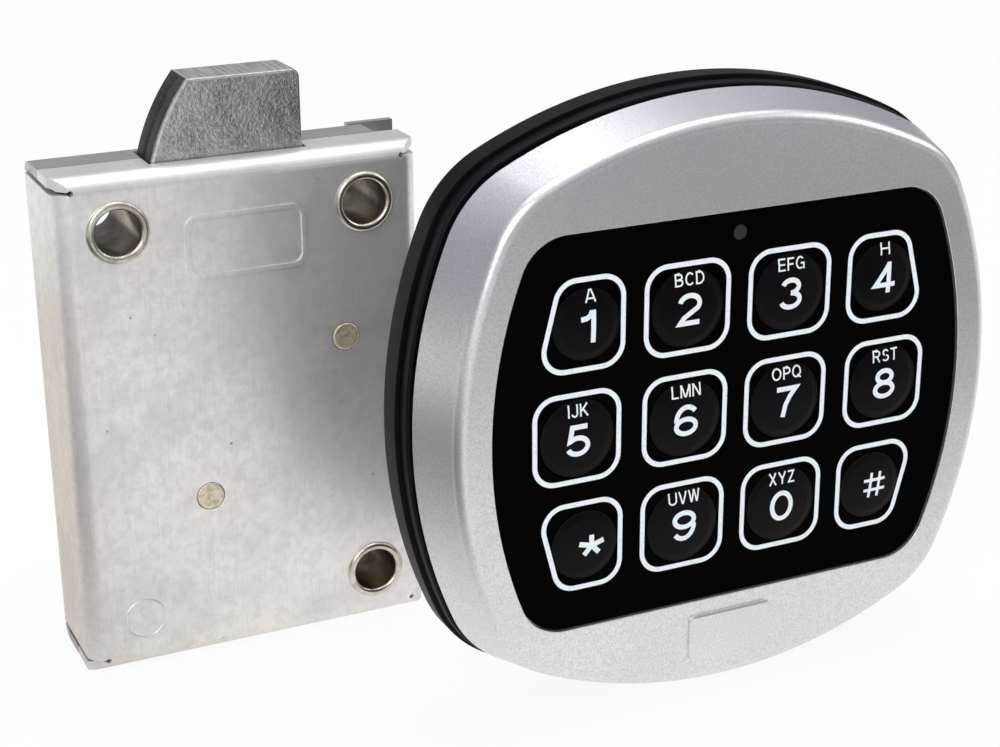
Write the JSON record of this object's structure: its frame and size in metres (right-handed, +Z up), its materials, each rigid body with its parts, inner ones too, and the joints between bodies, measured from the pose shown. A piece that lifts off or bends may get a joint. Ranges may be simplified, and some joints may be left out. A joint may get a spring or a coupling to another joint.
{
  "type": "electronic safe lock with keypad",
  "caption": "Swing-bolt safe lock in a folded steel case, with its separate keypad: satin bowed housing, black faceplate, domed keys.",
  "frame": {"origin": "on the floor plane, under the middle of the two units together", "axes": "+Z up, both fronts face -Y, +X runs from the lock case to the keypad"},
  "size_m": [0.1442, 0.0686, 0.0996],
  "materials": {
    "pressed_steel": "satin pressed sheet with faint mottling and fine scratches",
    "nickel_plate": "bright nickel plate, slightly warm",
    "rivet_steel": "turned flat, warm grey",
    "cast_metal": "dark gunmetal casting, grainy face and bright worn edges",
    "spring_steel": "drawn wire",
    "coil_winding": "enamelled copper",
    "circuit_board": "green solder resist",
    "socket_plastic": "moulded nylon",
    "black_component": "moulded epoxy",
    "satin_silver": "satin silver, die cast and fine blasted",
    "faceplate_black": "matte black textured film",
    "key_black": "matte black with a light legend",
    "led_lens": "smoked lens",
    "silicone": "soft grey",
    "base_black": "matte black moulded, lightly textured"
  },
  "bodies": {
    "lock_case": {"front_cover": "pressed_steel", "rear_case": "pressed_steel", "eyelet_top_left": "nickel_plate", "eyelet_top_right": "nickel_plate", "eyelet_bottom_right": "nickel_plate", "upper_post": "rivet_steel", "lower_post": "rivet_steel", "bolt_spring": "spring_steel", "solenoid_frame": "pressed_steel", "solenoid_coil": "coil_winding", "plunger_spring": "spring_steel", "lock_circuit_board": "circuit_board", "lock_chip": "black_component", "capacitor": "black_component", "cable_socket": "socket_plastic", "board_spacer_left": "socket_plastic", "board_spacer_right": "socket_plastic", "board_screw_left": "nickel_plate", "board_screw_right": "nickel_plate", "keypad_base": "base_black"},
    "bolt": {"swing_bolt": "cast_metal"},
    "lever": {"blocking_lever": "pressed_steel"},
    "plunger": {"solenoid_plunger": "spring_steel"},
    "keypad_cover": {"keypad_housing": "satin_silver", "overlay": "faceplate_black", "switch_mat": "silicone", "key_circuit_board": "circuit_board", "status_led": "led_lens", "buzzer": "black_component", "controller_chip": "black_component", "keypad_cable_socket": "socket_plastic", "key_board_screw_top_left": "nickel_plate", "key_board_screw_top_right": "nickel_plate", "key_board_screw_bottom_left": "nickel_plate", "key_board_screw_bottom_right": "nickel_plate"},
    "key_1_cap": {"key_1": "key_black"},
    "key_2_cap": {"key_2": "key_black"},
    "key_3_cap": {"key_3": "key_black"},
    "key_4_cap": {"key_4": "key_black"},
    "key_5_cap": {"key_5": "key_black"},
    "key_6_cap": {"key_6": "key_black"},
    "key_7_cap": {"key_7": "key_black"},
    "key_8_cap": {"key_8": "key_black"},
    "key_star_cap": {"key_star": "key_black"},
    "key_9_cap": {"key_9": "key_black"},
    "key_0_cap": {"key_0": "key_black"},
    "key_hash_cap": {"key_hash": "key_black"}
  },
  "joints": [
    {"name": "bolt_swing", "type": "hinge", "parent": "lock_case", "child": "bolt", "pos_m": [-0.02099, 0.02555, 0.07584], "axis": [0, -1, 0], "range_deg": [0, 46], "stiffness_Nm_per_rad": 0.05, "springref_deg": -68.75, "deforming": ["bolt_spring"]},
    {"name": "lever_swing", "type": "hinge", "parent": "lock_case", "child": "lever", "pos_m": [-0.02492, 0.02555, 0.053], "axis": [0, 1, 0], "range_deg": [0, 44]},
    {"name": "plunger_draw", "type": "slide", "parent": "lock_case", "child": "plunger", "axis": [0, 0, -1], "range_m": [0, 0.0038], "deforming": ["plunger_spring"]},
    {"name": "cover_pull", "type": "slide", "parent": "lock_case", "child": "keypad_cover", "axis": [0, -1, 0], "range_m": [0, 0.025]},
    {"name": "key_1_press", "type": "slide", "parent": "keypad_cover", "child": "key_1_cap", "axis": [0, 1, 0], "range_m": [0, 0.0006], "stiffness_N_per_m": 1500, "springref_m": -0.0002},
    {"name": "key_2_press", "type": "slide", "parent": "keypad_cover", "child": "key_2_cap", "axis": [0, 1, 0], "range_m": [0, 0.0006], "stiffness_N_per_m": 1500, "springref_m": -0.0002},
    {"name": "key_3_press", "type": "slide", "parent": "keypad_cover", "child": "key_3_cap", "axis": [0, 1, 0], "range_m": [0, 0.0006], "stiffness_N_per_m": 1500, "springref_m": -0.0002},
    {"name": "key_4_press", "type": "slide", "parent": "keypad_cover", "child": "key_4_cap", "axis": [0, 1, 0], "range_m": [0, 0.0006], "stiffness_N_per_m": 1500, "springref_m": -0.0002},
    {"name": "key_5_press", "type": "slide", "parent": "keypad_cover", "child": "key_5_cap", "axis": [0, 1, 0], "range_m": [0, 0.0006], "stiffness_N_per_m": 1500, "springref_m": -0.0002},
    {"name": "key_6_press", "type": "slide", "parent": "keypad_cover", "child": "key_6_cap", "axis": [0, 1, 0], "range_m": [0, 0.0006], "stiffness_N_per_m": 1500, "springref_m": -0.0002},
    {"name": "key_7_press", "type": "slide", "parent": "keypad_cover", "child": "key_7_cap", "axis": [0, 1, 0], "range_m": [0, 0.0006], "stiffness_N_per_m": 1500, "springref_m": -0.0002},
    {"name": "key_8_press", "type": "slide", "parent": "keypad_cover", "child": "key_8_cap", "axis": [0, 1, 0], "range_m": [0, 0.0006], "stiffness_N_per_m": 1500, "springref_m": -0.0002},
    {"name": "key_star_press", "type": "slide", "parent": "keypad_cover", "child": "key_star_cap", "axis": [0, 1, 0], "range_m": [0, 0.0006], "stiffness_N_per_m": 1500, "springref_m": -0.0002},
    {"name": "key_9_press", "type": "slide", "parent": "keypad_cover", "child": "key_9_cap", "axis": [0, 1, 0], "range_m": [0, 0.0006], "stiffness_N_per_m": 1500, "springref_m": -0.0002},
    {"name": "key_0_press", "type": "slide", "parent": "keypad_cover", "child": "key_0_cap", "axis": [0, 1, 0], "range_m": [0, 0.0006], "stiffness_N_per_m": 1500, "springref_m": -0.0002},
    {"name": "key_hash_press", "type": "slide", "parent": "keypad_cover", "child": "key_hash_cap", "axis": [0, 1, 0], "range_m": [0, 0.0006], "stiffness_N_per_m": 1500, "springref_m": -0.0002}
  ],
  "couplings": [
    {"joint": "lever_swing", "follows": "bolt_swing", "ratio": 0.93},
    {"joint": "plunger_draw", "follows": "bolt_swing", "m_per_rad": 0.00439}
  ]
}
